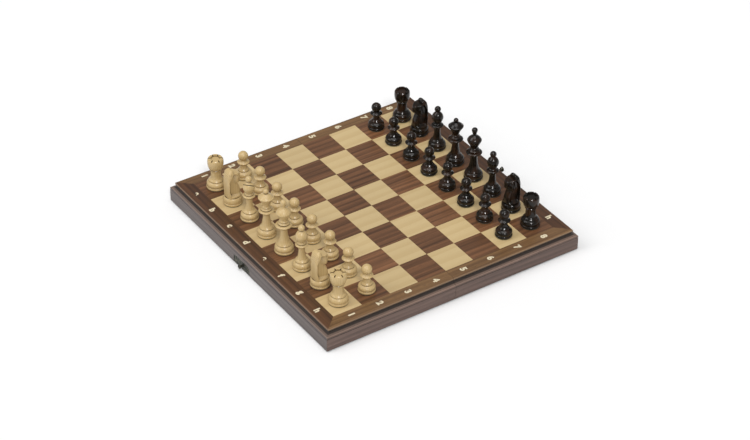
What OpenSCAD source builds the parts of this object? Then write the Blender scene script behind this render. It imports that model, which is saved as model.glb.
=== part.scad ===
// Folding chess box with a full set of turned chessmen.
// The board lies open on its rims, playing surface up, with the fold along the X axis.
// White stands at -Y, black at +Y, and the a-file is at -X. Origin: bottom centre. Millimetres.

/* [Board] */
// Side of one playing square
square = 33; // [24:0.5:45]
// Height of one half, from its rim to the playing surface
half_h = 23; // [18:0.5:40]
// Width of the border beside the squares, along both sides
side_border = 14; // [10:0.5:24]
// Width of the border across both ends
end_border = 15; // [10:0.5:24]
// Height of the moulding between a rail's plain face and the border
moulding_h = 2.8; // [2:0.2:4]
// Thickness of the rails
rail_t = 9; // [7:0.5:14]
// Distance from a rail's outer face to the nosed edge of the border
nose_inset = 4; // [2:0.25:6]
// Thickness of the plywood core under the squares
core_t = 3.2; // [2:0.2:6]
// Thickness of the veneer squares
veneer_t = 0.6; // [0.4:0.1:1.5]
// Width of the fine joint line around each square
joint_line = 0.06; // [0.04:0.01:0.2]
// Thickness of the felt sheet that lines each tray
lining_t = 0.75; // [0.5:0.05:2]
// Gap between the two halves at the fold
fold_gap = 0.3; // [0.1:0.05:1]

/* [Hinges] */
// Distance of each hinge from the middle of the board
hinge_x = 95; // [50:1:110]
// Length of each hinge
hinge_l = 24; // [16:1:40]
// Radius of the hinge knuckles
knuckle_r = 1.2; // [1:0.1:2.5]
// Radius of the hinge pins
hinge_pin_r = 0.6; // [0.4:0.05:1]
// Thickness of the hinge leaves
leaf_t = 1; // [0.6:0.1:1.5]
// Width of a hinge leaf across the rim
leaf_w = 6.5; // [5:0.25:7]

/* [Latch] */
// Length of the two latch plates
plate_l = 30; // [22:1:40]
// Height of the two latch plates
plate_h = 9.6; // [8:0.2:11]
// Thickness of the two latch plates
plate_t = 1; // [0.6:0.1:1.6]
// Position of the knob along the white end
knob_x = -8; // [-14:0.5:-4]
// Height of the knob above the rim
knob_z = 3.2; // [3:0.1:5]
// Position of the hook's pivot along the black end
pivot_x = 6.5; // [4:0.5:14]
// Height of the hook's pivot above the rim
pivot_z = 6; // [5:0.1:7]
// Angle at which the open hook stands up from the horizontal
hook_up = 53; // [20:1:90]
// Width of the hook's arm
hook_w = 3.6; // [3:0.2:5]
// Thickness of the hook
hook_t = 1.4; // [0.8:0.1:2]

/* [Chessmen] */
// Height of the king
king_h = 62.2; // [46:0.2:90]
// Height of the queen
queen_h = 55.5; // [42:0.2:80]
// Height of the bishops
bishop_h = 51.8; // [38:0.2:74]
// Height of the knights
knight_h = 42.3; // [34:0.2:60]
// Height of the rooks
rook_h = 36; // [28:0.2:52]
// Height of the pawns
pawn_h = 31.5; // [24:0.2:46]
// Diameter of the king's foot, which sets the others in proportion
foot_d = 20.2; // [15:0.2:23]
// Thickness of the felt glued under each man
felt_t = 0.8; // [0.4:0.1:1.5]

/* [Fits] */
// Radial running clearance of the pins and the pivot
running = 0.05; // [0.02:0.01:0.1]
// Clearance of let-in plates and leaves in their pockets
pocket_gap = 0.2; // [0.1:0.05:0.4]
// Clearance of the knob's neck in the hook
hook_gap = 0.25; // [0.15:0.05:0.5]

/* [Hidden] */
$fn = 64;
FILES = 8;
HALF_RANKS = 4;
WOOD_LIGHT = [0.86, 0.72, 0.50];
WOOD_DARK = [0.36, 0.24, 0.18];
BOXWOOD = [0.90, 0.80, 0.58];
EBONISED = [0.10, 0.07, 0.06];
OLD_BRASS = [0.38, 0.38, 0.32];
FELT = [0.12, 0.25, 0.18];

// heights: the knuckles touch the table, so the rims stand just above it
rim_gap = 0.05;
pin_z = knuckle_r;
rim_z = pin_z + rim_gap;
top_z = rim_z + half_h;
core_top = top_z - veneer_t;
core_z = core_top - core_t;
lining_z = core_z - lining_t;
// plan sizes of one half, which lies at -Y from the fold
field_x = square * FILES / 2;
field_y = square * HALF_RANKS;
border_x = field_x + side_border;
border_y = field_y + end_border;
half_w = border_x + nose_inset;
half_l = border_y + nose_inset;
tray_x = half_w - rail_t;
tray_y = half_l - rail_t;
fold_y = fold_gap / 2;
// moulding of the rails
edge_r = 1.2;
quirk = 0.45;
cove_in = nose_inset + 1.6;
cove_out = edge_r + 0.4;
rail_edge_z = core_z - moulding_h;
vee_h = 0.8;
vee_z = rail_edge_z - 2.4;
arc_steps = 8;
nose_r = 1.6;
// screws: one size for hinges and latch plates
screw_r = 0.8;
screw_head_r = 1.7;
screw_l = rail_t - 2;
screw_gap = 0.05;
hinge_screw_x = 7.5;
plate_screw_in = 3.6;
// hinge knuckles: two on the white leaf, one on the black leaf between them
knuckle_gap = 0.2;
knuckle_l = (hinge_l - 2 * knuckle_gap) / 3;
knuckle_room = 0.35;
// latch
plate_sink = 0.2;
plate_shoulder = 4.2;
pocket_depth = plate_t + plate_sink;
neck_r = 1.1;
knob_r = 2.4;
knob_head_t = 1.2;
knob_edge = 0.3;
hook_lip = 1.4;
pivot_r = 1.25;
pivot_head_r = 2.6;
eye_r = 3.4;
hook_off = 0.35;
head_gap = 0.35;
latch_out = hook_off + hook_t + head_gap;
shank_l = rail_t - 3;
hook_dx = knob_x - pivot_x;
hook_dz = -knob_z - pivot_z - 2 * rim_gap;
hook_l = norm([hook_dx, hook_dz]);

SIDES = ["white", "black"];
RANK_NAMES = ["rook_a", "knight_b", "bishop_c", "queen", "king", "bishop_f", "knight_g", "rook_h"];
FILE_NAMES = ["a", "b", "c", "d", "e", "f", "g", "h"];
BOARD_NAMES = ["panel_core", "light_squares", "dark_squares", "border", "side_rail_left",
    "side_rail_right", "end_rail", "hinge_rail", "felt_lining", "hinge_leaves", "screws"];
BOARD_NODES = [for (s = SIDES) for (b = BOARD_NAMES) str(s, "_", b)];
LATCH_NODES = ["hinge_pins", "latch_knob_plate", "latch_knob", "latch_pivot_plate",
    "latch_pivot_screw", "latch_hook"];
MEN_NODES = [for (s = SIDES) for (i = [0:2 * FILES - 1])
    i < FILES ? str(s, "_", RANK_NAMES[i]) : str(s, "_pawn_", FILE_NAMES[i - FILES])];

// ---- helpers

// places a shape on either half: the black half is the white one turned about Z
module on_half(side) {
    rotate([0, 0, side == "white" ? 0 : 180])
        children();
}

// points of an ellipse arc
function arc(c, r, a0, a1) = [for (i = [0:arc_steps])
    let (a = a0 + (a1 - a0) * i / arc_steps) [c[0] + r[0] * cos(a), c[1] + r[1] * sin(a)]];

// block between two corners
module block(low, high) {
    translate(low)
        cube(high - low);
}

// ---- board, drawn as the white half

module panel_core() {
    color(WOOD_LIGHT)
        block([-field_x, -field_y, core_z], [field_x, -fold_y, core_top]);
}

// parity 0 gives the squares of the near left corner's colour
module squares(parity, tone) {
    color(tone)
        for (f = [0:FILES - 1])
            for (r = [0:HALF_RANKS - 1])
                if ((f + r) % 2 == parity)
                    block([f * square - field_x + joint_line / 2,
                           r * square - field_y + joint_line / 2, core_top],
                          [(f + 1) * square - field_x - joint_line / 2,
                           (r + 1) * square - field_y - (r == HALF_RANKS - 1 ? fold_y : joint_line / 2),
                           top_z]);
}

// border section, x outwards from the field: nosed outer edge
function nose_section(w) = concat(
    [[0, core_z]],
    arc([w - nose_r, core_z + nose_r], [nose_r, nose_r], -90, 0),
    arc([w - nose_r, top_z - nose_r], [nose_r, nose_r], 0, 90),
    [[0, top_z]]);

// a bar with the given section, run along Y from y0 to y1, its section's x pointing along +X
module bar(section, y0, y1) {
    translate([0, y1, 0])
        rotate([90, 0, 0])
            linear_extrude(y1 - y0)
                polygon(section);
}

// plan of a right-hand side strip between x0 and x1, mitred at the near end where it is at y0 and y1
module side_plan(x0, y0, x1, y1) {
    translate([0, 0, -1])
        linear_extrude(top_z + 2)
            polygon([[x0, -y0], [x1, -y1], [x1, -fold_y], [x0, -fold_y]]);
}

// plan of the strip across the near end, mitred at both ends
module end_plan(x0, y0, x1, y1) {
    translate([0, 0, -1])
        linear_extrude(top_z + 2)
            polygon([[-x0, -y0], [-x1, -y1], [x1, -y1], [x0, -y0]]);
}

// three strips with a joint line at their mitres
module border() {
    past = 1;
    slope = end_border / side_border;
    out_x = border_x + past;
    out_y = border_y + past * slope;
    color(WOOD_DARK) {
        for (side = [0, 1])
            mirror([side, 0, 0])
                intersection() {
                    translate([field_x, 0, 0])
                        bar(nose_section(side_border), -half_l, -fold_y);
                    side_plan(field_x, field_y - joint_line, out_x, out_y - joint_line);
                }
        intersection() {
            translate([0, -field_y, 0])
                rotate([0, 0, -90])
                    bar(nose_section(end_border), -half_w, half_w);
            end_plan(field_x, field_y, out_x, out_y);
        }
    }
}

// rail section, x outwards from the rail's inner face: plain face with a fine V-shaped line,
// round edge, quirk and cove
function rail_section() = concat(
    [[0, rim_z], [rail_t, rim_z]],
    [[rail_t, vee_z - vee_h / 2], [rail_t - vee_h / 2, vee_z], [rail_t, vee_z + vee_h / 2]],
    arc([rail_t - edge_r, rail_edge_z - edge_r], [edge_r, edge_r], 0, 90),
    [[rail_t - cove_out, rail_edge_z]],
    arc([rail_t - cove_out, core_z], [cove_in - cove_out, core_z - rail_edge_z - quirk], 270, 180),
    [[0, core_z]]);

module side_rail(mirrored) {
    color(WOOD_DARK)
        mirror([mirrored, 0, 0])
            intersection() {
                translate([tray_x, 0, 0])
                    bar(rail_section(), -half_l, -fold_y);
                side_plan(tray_x, tray_y, half_w + 1, half_l + 1);
            }
}

// pocket that takes a latch plate, in the outer face of the near end
module plate_pocket(x) {
    translate([x, -half_l - 1, rim_z])
        rotate([-90, 0, 0])
            mirror([0, 1, 0])
                linear_extrude(pocket_depth + 1)
                    plate_shape(pocket_gap);
}

module end_rail(x, hole_r, hole_z) {
    color(WOOD_DARK)
        difference() {
            intersection() {
                translate([0, -tray_y, 0])
                    rotate([0, 0, -90])
                        bar(rail_section(), -half_w, half_w);
                end_plan(tray_x, tray_y, half_w + 1, half_l + 1);
            }
            plate_pocket(x);
            translate([x, -half_l - 1, rim_z + hole_z])
                rotate([-90, 0, 0])
                    cylinder(r = hole_r + screw_gap, h = shank_l + 1 + screw_gap);
            plate_screw_places(x)
                screw_cutter();
        }
}

module hinge_rail() {
    color(WOOD_DARK)
        difference() {
            block([-tray_x, -fold_y - rail_t, rim_z], [tray_x, -fold_y, core_z]);
            for (s = [-1, 1]) {
                block([s * hinge_x - hinge_l / 2 - pocket_gap, -leaf_w - pocket_gap, rim_z - 1],
                      [s * hinge_x + hinge_l / 2 + pocket_gap, 1, rim_z + leaf_t]);
                translate([s * hinge_x - hinge_l / 2 - pocket_gap, 0, pin_z])
                    rotate([0, 90, 0])
                        cylinder(r = knuckle_r + knuckle_room, h = hinge_l + 2 * pocket_gap);
            }
            hinge_screw_places()
                screw_cutter();
        }
}

module felt_lining() {
    color(FELT)
        block([-tray_x + pocket_gap, -tray_y + pocket_gap, lining_z],
              [tray_x - pocket_gap, -fold_y - rail_t - pocket_gap, core_z]);
}

// ---- screws: countersunk, head down at the origin, shank along +Z

module screw() {
    cylinder(r1 = screw_head_r, r2 = screw_r, h = screw_head_r - screw_r);
    cylinder(r = screw_r, h = screw_l);
}

module screw_cutter() {
    translate([0, 0, -1])
        cylinder(r = screw_head_r + screw_gap, h = 1);
    cylinder(r1 = screw_head_r + screw_gap, r2 = screw_r + screw_gap, h = screw_head_r - screw_r);
    cylinder(r = screw_r + screw_gap, h = screw_l + screw_gap);
}

module hinge_screw_places() {
    for (s = [-1, 1])
        for (t = [-1, 1])
            translate([s * hinge_x + t * hinge_screw_x, -(leaf_w + knuckle_r + knuckle_room) / 2, rim_z])
                children();
}

module plate_screw_places(x) {
    for (t = [-1, 1])
        translate([x + t * (plate_l / 2 - plate_screw_in), -half_l + plate_sink, rim_z + plate_h / 2])
            rotate([-90, 0, 0])
                children();
}

module screws(x) {
    color(OLD_BRASS) {
        hinge_screw_places()
            screw();
        plate_screw_places(x)
            screw();
    }
}

// ---- hinges

// one knuckle, centred on the hinge, from x0 to x1
module knuckle(x0, x1) {
    translate([x0, 0, pin_z])
        rotate([0, 90, 0])
            cylinder(r = knuckle_r, h = x1 - x0);
}

// own = x ranges of this leaf's knuckles, other = x ranges of the mating leaf's
module hinge_leaf(own, other) {
    difference() {
        union() {
            block([-hinge_l / 2, -leaf_w, rim_z], [hinge_l / 2, 0, rim_z + leaf_t]);
            for (k = own)
                knuckle(k[0], k[1]);
        }
        for (k = other)
            translate([k[0] - knuckle_gap, 0, pin_z])
                rotate([0, 90, 0])
                    cylinder(r = knuckle_r + knuckle_room, h = k[1] - k[0] + 2 * knuckle_gap);
        translate([-hinge_l, 0, pin_z])
            rotate([0, 90, 0])
                cylinder(r = hinge_pin_r + running, h = 2 * hinge_l);
    }
}

module hinge_leaves(side) {
    outer = [[-hinge_l / 2, -knuckle_l / 2 - knuckle_gap], [knuckle_l / 2 + knuckle_gap, hinge_l / 2]];
    inner = [[-knuckle_l / 2, knuckle_l / 2]];
    color(OLD_BRASS)
        difference() {
            for (s = [-1, 1])
                translate([s * hinge_x, 0, 0])
                    hinge_leaf(side == "white" ? outer : inner, side == "white" ? inner : outer);
            hinge_screw_places()
                screw_cutter();
        }
}

module hinge_pins() {
    color(OLD_BRASS)
        for (s = [-1, 1])
            translate([s * hinge_x - hinge_l / 2, 0, pin_z])
                rotate([0, 90, 0])
                    cylinder(r = hinge_pin_r, h = hinge_l);
}

// ---- latch

// outline of a latch plate, y up from the rim: straight foot, round shoulders
module plate_shape(grow) {
    reach = plate_l / 2 + grow;
    shoulder = plate_shoulder + grow;
    rise = plate_h + grow;
    foot = grow > 0 ? -1 : 0;
    for (s = [-1, 1])
        translate([s * (reach - shoulder), rise - shoulder])
            circle(r = shoulder);
    translate([-reach, foot])
        square([2 * reach, rise - shoulder - foot]);
    translate([shoulder - reach, foot])
        square([2 * (reach - shoulder), rise - foot]);
}

module latch_plate(x, hole_r, hole_z) {
    color(OLD_BRASS)
        difference() {
            translate([x, -half_l + plate_sink, rim_z])
                rotate([-90, 0, 0])
                    mirror([0, 1, 0])
                        linear_extrude(plate_t)
                            plate_shape(0);
            translate([x, -half_l - 1, rim_z + hole_z])
                rotate([-90, 0, 0])
                    cylinder(r = hole_r + screw_gap, h = pocket_depth + 2);
            plate_screw_places(x)
                screw_cutter();
        }
}

// headed stud: shank into the rail, neck through the hook, round head outside
module stud(r, head_r) {
    rotate([90, 0, 0]) {
        translate([0, 0, -shank_l])
            cylinder(r = r, h = shank_l + latch_out);
        translate([0, 0, latch_out])
            rotate_extrude()
                polygon(concat([[0, 0]], [[head_r - knob_edge, 0]],
                    arc([head_r - knob_head_t, knob_edge], [knob_head_t, knob_head_t - knob_edge], 0, 90),
                    [[0, knob_head_t]]));
    }
}

module latch_knob() {
    color(OLD_BRASS)
        translate([knob_x, -half_l, rim_z + knob_z])
            stud(neck_r, knob_r);
}

// the black half is turned about Z, so its pivot is at the mirrored x of the white drawing
module latch_pivot_screw() {
    color(OLD_BRASS)
        translate([-pivot_x, -half_l, rim_z + pivot_z])
            stud(pivot_r, pivot_head_r);
}

// hook, flat, pivot at the origin, arm along +X, slot open to +Y
module hook_shape() {
    difference() {
        union() {
            circle(r = eye_r);
            translate([0, -hook_w / 2])
                square([hook_l, hook_w]);
            translate([hook_l, 0])
                circle(r = neck_r + hook_gap + hook_lip);
        }
        circle(r = pivot_r + running);
        translate([hook_l, 0])
            circle(r = neck_r + hook_gap);
        translate([hook_l - neck_r - hook_gap, 0])
            square([2 * (neck_r + hook_gap), hook_w * 2]);
    }
}

module latch_hook() {
    color(OLD_BRASS)
        translate([pivot_x, half_l + hook_off + hook_t, rim_z + pivot_z])
            rotate([90, 0, 0])
                linear_extrude(hook_t)
                    rotate([0, 0, hook_up])
                        hook_shape();
}

// ---- chessmen

FELT_T = 0.8;
felt_inset = 0.25;
glue_line = 0.02;
foot_scale = foot_d / 20.2;
// A turned outline is a list of [height, radius, smooth]: a smooth knot is passed through in a
// curve, a plain one is a corner. Heights and radii are those of the full-size man.
function tangent(k, i, dir) = let (n = len(k) - 1, a = k[max(i - 1, 0)], b = k[min(i + 1, n)])
    k[i][2] == 0 ? dir * ((dir > 0 ? b : a) - k[i])
    : i == n ? [0, -a[1], 0]
    : (b - a) / 2;
function hermite(p, q, u, v, t) = (2 * t ^ 3 - 3 * t ^ 2 + 1) * p + (t ^ 3 - 2 * t ^ 2 + t) * u
    + (3 * t ^ 2 - 2 * t ^ 3) * q + (t ^ 3 - t ^ 2) * v;
turn_steps = 3;
// radii are scaled by rs, and heights above the felt so that the top comes to h
function turned(k, full, h, rs) = [for (i = [0:len(k) - 2])
    let (steps = k[i][2] + k[i + 1][2] == 0 ? 1 : turn_steps)
    for (j = [0:steps - 1])
    let (p = hermite(k[i], k[i + 1], tangent(k, i, 1), tangent(k, i + 1, -1), j / steps))
    [p[1] * rs, felt_t + (p[0] - FELT_T) * (h - felt_t) / (full - FELT_T)]];
// knots of a ball of radius r whose top is at h, from where it leaves a neck of radius n
ball_steps = 4;
function ball(h, r, n) = [for (i = [0:ball_steps])
    let (a = (90 + acos(n / r)) * i / ball_steps - acos(n / r))
    [h - r + r * sin(a), r * cos(a), i == 0 ? 0 : 1]];

// the foot that the turned men share: rim and swelling of radius r, then a ring above them
function foot(r, ring) = [[FELT_T, r - 0.5, 0], [1.9, r, 1], [3.0, r - 0.4, 0], [3.3, r - 0.8, 0],
    [5.4, r - 0.35, 1], [7.3, r - 0.9, 1], [8.8, ring + 0.3, 0],
    [9.1, ring - 0.3, 0], [10, ring, 1], [11, ring - 0.7, 0]];

KING_H = 62.2;
QUEEN_H = 55.5;
BISHOP_H = 51.8;
KNIGHT_H = 42.3;
ROOK_H = 36;
PAWN_H = 31.5;
KING = concat(foot(10.1, 7.6), [[13.4, 5.6, 1], [18, 4.4, 1], [24, 3.7, 1], [28.2, 3.7, 1], [30, 4.9, 0],
    [31.2, 7.4, 0], [32.3, 8.5, 1], [33.3, 7.6, 0], [33.8, 5.3, 0], [34.8, 5.9, 1], [35.7, 5, 0],
    [36.4, 4.3, 0], [37.3, 4.8, 1], [38.2, 4.2, 0], [39.4, 4, 0], [41.6, 4.9, 1], [44.6, 6.6, 1],
    [47.2, 7.6, 1], [48.4, 7.3, 0], [50, 6.2, 1], [51.8, 4.3, 1], [53.2, 2.2, 0], [54.4, 1.9, 1],
    [57, 2.6, 1], [59.4, 3.1, 1], [61.3, 2.3, 1], [KING_H, 0, 1]]);
QUEEN = concat(foot(10, 7.4), [[13.2, 5.3, 1], [17.5, 4.3, 1], [22.5, 3.6, 1], [26.4, 3.6, 1],
    [28.1, 4.7, 0], [29.2, 7, 0], [30.2, 8, 1], [31.1, 7.2, 0], [31.6, 5.2, 0], [32.5, 5.7, 1],
    [33.3, 4.7, 0], [34, 4, 0], [34.8, 4.4, 1], [35.6, 3.8, 0], [36.8, 3.6, 0], [39.2, 4.4, 1],
    [42.6, 6.2, 1], [45.6, 8, 0], [46.3, 8, 0], [46.7, 7.2, 0], [48.6, 5.4, 1], [50, 3.3, 1],
    [50.8, 1.9, 0]], ball(QUEEN_H, 2.6, 1.5));
BISHOP = concat(foot(9.6, 7), [[12.6, 4.9, 1], [16, 3.9, 1], [20.5, 3.3, 1], [24.8, 3.3, 1],
    [26.6, 4.1, 0], [27.7, 5.7, 0], [28.7, 6.5, 1], [29.6, 5.8, 0], [30.1, 4.2, 0], [30.9, 4.7, 1],
    [31.7, 4, 0], [32.7, 3.6, 0], [34.2, 4.7, 1], [36.6, 5.8, 1], [39.2, 6.1, 1], [42.2, 5.1, 1],
    [44.4, 3.3, 1], [45.6, 2, 0]], ball(BISHOP_H, 3.4, 1.9));
ROOK = concat(foot(10.3, 7.8), [[12.4, 6, 1], [15.2, 5.4, 1], [18.5, 5.2, 1], [21.4, 5.3, 0],
    [21.8, 6, 0], [22.5, 6.3, 1], [23.2, 5.8, 0], [24.6, 7.1, 1], [27.2, 8, 1], [31, 8.4, 1],
    [34.4, 8.1, 1], [ROOK_H, 7.1, 0], [ROOK_H, 4.9, 0], [34.7, 4.6, 0], [34.7, 0, 0]]);
PAWN = concat(foot(9, 5.8), [[12.4, 4.1, 1], [14.8, 3.4, 1], [16.8, 3.4, 1], [17.8, 4.2, 0],
    [18.3, 5.8, 0], [19.1, 6.5, 1], [19.9, 5.8, 0], [20.6, 4.1, 0], [21.6, 3.5, 1]],
    ball(PAWN_H, 5.3, 3.4));
KNIGHT_FOOT = [[FELT_T, 9.6, 0], [1.9, 10.1, 1], [3, 9.8, 0], [3.3, 9.4, 0], [4.6, 9.8, 1],
    [6.6, 9.8, 1], [8.4, 9.2, 1], [9.4, 8.4, 0], [9.4, 0, 0]];

// knight's head in the same form: its side outline gives x forwards, up the back and down the
// face, and its front outline gives half of its width
KNIGHT_SIDE = [[8.4, -7.4, 0], [17, -7.9, 1], [31.4, -7.9, 1], [37.4, -6.9, 1], [40.9, -5, 1],
    [42.2, -2.8, 1], [41.9, -0.9, 0], [38.4, -0.4, 0], [38.2, 3.2, 1], [37.2, 6.6, 0], [35.2, 8, 1],
    [29.6, 8.2, 1], [27.7, 7, 0], [27.2, 4.8, 0], [25.6, 4.4, 1], [21.4, 6, 1], [16.4, 7.6, 1],
    [12.4, 7.6, 1], [8.4, 7.4, 0]];
KNIGHT_FRONT = [[8.4, 7.4, 0], [14.4, 7.3, 1], [20.4, 7.1, 1], [27.4, 7.1, 1], [33.4, 6.9, 1],
    [38.4, 6, 1], [41, 4.4, 1], [KNIGHT_H + 0.4, 2.4, 0]];
knight_round = 9.8;

// a man stands on the middle of its square, counted from the a-file and from white's first rank
module on_square(file, rank) {
    translate([(file - FILES / 2 + 0.5) * square, (rank - HALF_RANKS + 0.5) * square, top_z])
        children();
}

// an outline with its last knot added
function outline(knots, full, h) = concat(turned(knots, full, h, foot_scale),
    turned([knots[len(knots) - 1], knots[len(knots) - 1]], full, h, foot_scale));

module turned_wood(knots, full, h) {
    rotate_extrude()
        polygon(concat([[0, felt_t]], outline(knots, full, h), [[0, outline(knots, full, h)[0][1]]]));
}

// felt pad glued under the foot
module felt_pad(knots) {
    cylinder(r = (knots[0][1] - felt_inset) * foot_scale, h = felt_t - glue_line);
}

// a whole turned man on its felt
module turned_man(knots, full, h) {
    turned_wood(knots, full, h);
    felt_pad(knots);
}

module king(tone) {
    color(tone)
        turned_man(KING, KING_H, king_h);
}

module queen(tone) {
    color(tone)
        turned_man(QUEEN, QUEEN_H, queen_h);
}

// the mitre: one slanting saw cut into the head
slit_w = 0.8;
slit_z = 40.5;
slit_tilt = 38;

module bishop(tone) {
    color(tone)
        difference() {
            turned_man(BISHOP, BISHOP_H, bishop_h);
            translate([0, 0, slit_z * bishop_h / BISHOP_H])
                rotate([0, 0, -45])
                    rotate([0, -slit_tilt, 0])
                        translate([0, -square / 2, -slit_w / 2])
                            cube([square / 2, square, slit_w]);
        }
}

// the battlements: saw cuts across the rim of the cup
cuts = 3;
cut_w = 1.2;
cut_d = 1.3;

module rook(tone) {
    color(tone)
        difference() {
            turned_man(ROOK, ROOK_H, rook_h);
            for (i = [0:cuts - 1])
                rotate([0, 0, 180 * i / cuts])
                    translate([-square / 2, -cut_w / 2, rook_h - cut_d])
                        cube([square, cut_w, cut_d + 1]);
        }
}

module pawn(tone) {
    color(tone)
        turned_man(PAWN, PAWN_H, pawn_h);
}

module knight(tone) {
    front = outline(KNIGHT_FRONT, KNIGHT_H, knight_h);
    color(tone) {
        union() {
            turned_wood(KNIGHT_FOOT, KNIGHT_H, knight_h);
            intersection() {
                rotate([90, 0, 90])
                    translate([0, 0, -square / 2])
                        linear_extrude(square)
                            polygon(outline(KNIGHT_SIDE, KNIGHT_H, knight_h));
                rotate([90, 0, 0])
                    translate([0, 0, -square / 2])
                        linear_extrude(square)
                            polygon(concat(front,
                                [for (i = [len(front) - 1:-1:0]) [-front[i][0], front[i][1]]]));
                cylinder(r = knight_round * foot_scale, h = knight_h + 1);
            }
        }
        felt_pad(KNIGHT_FOOT);
    }
}

// how far each of white's men is turned round on its square: only one bishop is
WHITE_TURNS = [0, 0, 0, 0, 0, 180, 0, 0];

module first_rank_man(i, tone) {
    if (i == 0 || i == FILES - 1) rook(tone);
    if (i == 1 || i == 6) knight(tone);
    if (i == 2 || i == 5) bishop(tone);
    if (i == 3) queen(tone);
    if (i == 4) king(tone);
}

// ---- the model

for (side = SIDES)
    on_half(side) {
        latch_x = side == "white" ? knob_x : -pivot_x;
        stud_r = side == "white" ? neck_r : pivot_r;
        stud_z = side == "white" ? knob_z : pivot_z;
        // the black half is turned, so its left is on the drawing's other side
        left = side == "white" ? 1 : 0;
        panel_core();
        squares(1, WOOD_LIGHT);
        squares(0, WOOD_DARK);
        border();
        side_rail(left);
        side_rail(1 - left);
        end_rail(latch_x, stud_r, stud_z);
        hinge_rail();
        felt_lining();
        hinge_leaves(side);
        screws(latch_x);
    }
hinge_pins();
latch_plate(knob_x, neck_r, knob_z);  // latch_knob_plate
latch_knob();
on_half("black") latch_plate(-pivot_x, pivot_r, pivot_z);  // latch_pivot_plate
on_half("black") latch_pivot_screw();
latch_hook();
for (i = [0:FILES - 1]) {
    on_square(i, 0) rotate([0, 0, WHITE_TURNS[i]]) first_rank_man(i, BOXWOOD);
    on_square(i, 1) pawn(BOXWOOD);
    on_square(i, 6) rotate([0, 0, 180]) pawn(EBONISED);
    on_square(i, 7) rotate([0, 0, 180]) first_rank_man(i, EBONISED);
}
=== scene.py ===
import math

import bmesh
import bpy
import numpy as np
from mathutils import Matrix, Vector


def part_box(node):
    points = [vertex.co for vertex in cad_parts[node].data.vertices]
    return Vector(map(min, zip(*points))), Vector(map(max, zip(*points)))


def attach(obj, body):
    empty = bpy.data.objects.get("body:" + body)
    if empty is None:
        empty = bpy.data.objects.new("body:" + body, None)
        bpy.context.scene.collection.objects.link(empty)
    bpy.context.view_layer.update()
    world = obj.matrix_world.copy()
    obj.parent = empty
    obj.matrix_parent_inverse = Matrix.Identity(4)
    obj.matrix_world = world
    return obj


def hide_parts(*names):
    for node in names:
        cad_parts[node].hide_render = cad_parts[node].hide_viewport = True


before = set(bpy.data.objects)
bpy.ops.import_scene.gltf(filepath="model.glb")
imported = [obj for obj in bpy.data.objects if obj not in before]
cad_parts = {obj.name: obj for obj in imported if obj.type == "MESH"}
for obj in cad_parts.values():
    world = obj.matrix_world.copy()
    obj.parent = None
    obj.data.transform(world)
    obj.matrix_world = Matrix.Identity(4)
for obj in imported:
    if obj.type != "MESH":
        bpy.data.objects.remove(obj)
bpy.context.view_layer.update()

# ---------------------------------------------------------------- studio
# A seamless pale floor under large soft lights, and one long lens looking down at the set
# from beyond the right-hand near corner.

squares_low, squares_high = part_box("white_light_squares")
FILES = 8
SQUARE = (squares_high[0] - squares_low[0]) / FILES
BOARD_TOP = squares_high[2]
FLOOR_SIZE = 8.0


class Nodes:
    """Adds nodes to a material or group; a value is a number, a colour or another node's socket."""

    def __init__(self, tree):
        self.tree = tree

    def add(self, kind, inputs=None, out=0, **settings):
        node = self.tree.nodes.new("ShaderNode" + kind)
        for name, value in settings.items():
            setattr(node, name, value)
        for key, value in (inputs or {}).items():
            socket = node.inputs[key]
            if isinstance(value, bpy.types.NodeSocket):
                self.tree.links.new(value, socket)
            else:
                socket.default_value = value
        return node.outputs[out]

    def math(self, operation, a, b=0.0, c=0.0, clamp=False):
        return self.add("Math", {0: a, 1: b, 2: c}, operation=operation, use_clamp=clamp)

    def mix(self, factor, a, b, blend="MIX"):
        return self.add("Mix", {0: factor, 6: a, 7: b}, out=2, data_type="RGBA", blend_type=blend)

    def blend(self, factor, a, b):
        return self.add("Mix", {0: factor, 2: a, 3: b}, out=0, data_type="FLOAT")

    def ramp(self, value, low, high, to_low=0.0, to_high=1.0):
        return self.add("MapRange", {0: value, 1: low, 2: high, 3: to_low, 4: to_high},
                        interpolation_type="SMOOTHSTEP")

    def place(self):
        return self.add("TexCoord", out=3)

    def stretch(self, vector, scale, shift=(0, 0, 0)):
        return self.add("Mapping", {"Vector": vector, "Scale": scale, "Location": shift})

    def noise(self, vector, scale=1.0, detail=3.0, rough=0.5):
        return self.add("TexNoise", {"Vector": vector, "Scale": scale, "Detail": detail,
                                     "Roughness": rough})


def new_material(name, **constants):
    """A Principled material: returns it, its node helper and its shader."""
    material = bpy.data.materials.new(name)
    material.use_nodes = True
    tree = material.node_tree
    tree.nodes.clear()
    output = tree.nodes.new("ShaderNodeOutputMaterial")
    shader = tree.nodes.new("ShaderNodeBsdfPrincipled")
    tree.links.new(shader.outputs[0], output.inputs[0])
    for socket, value in constants.items():
        shader.inputs[socket.replace("_", " ")].default_value = value
    return material, Nodes(tree), shader


def connect(nodes, shader, **sockets):
    for name, value in sockets.items():
        nodes.tree.links.new(value, shader.inputs[name.replace("_", " ")])


def put(name, mesh, material=None):
    piece = bpy.data.objects.new(name, mesh)
    bpy.context.scene.collection.objects.link(piece)
    if material:
        mesh.materials.clear()
        mesh.materials.append(material)
    return piece


PAPER_DULL, PAPER_BRIGHT = (0.90, 0.90, 0.90, 1), (0.93, 0.93, 0.93, 1)

paper, n, shader = new_material("floor_paper", Roughness=0.9)
mottle = n.noise(n.place(), 3.0, 2.0)
connect(n, shader, Base_Color=n.mix(mottle, PAPER_DULL, PAPER_BRIGHT))

floor_mesh = bpy.data.meshes.new("floor")
half_floor = FLOOR_SIZE / 2
corners = ((-1, -1), (1, -1), (1, 1), (-1, 1))
floor_mesh.from_pydata([(x * half_floor, y * half_floor, 0) for x, y in corners], [],
                       [(0, 1, 2, 3)])
put("floor", floor_mesh, paper)


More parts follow.
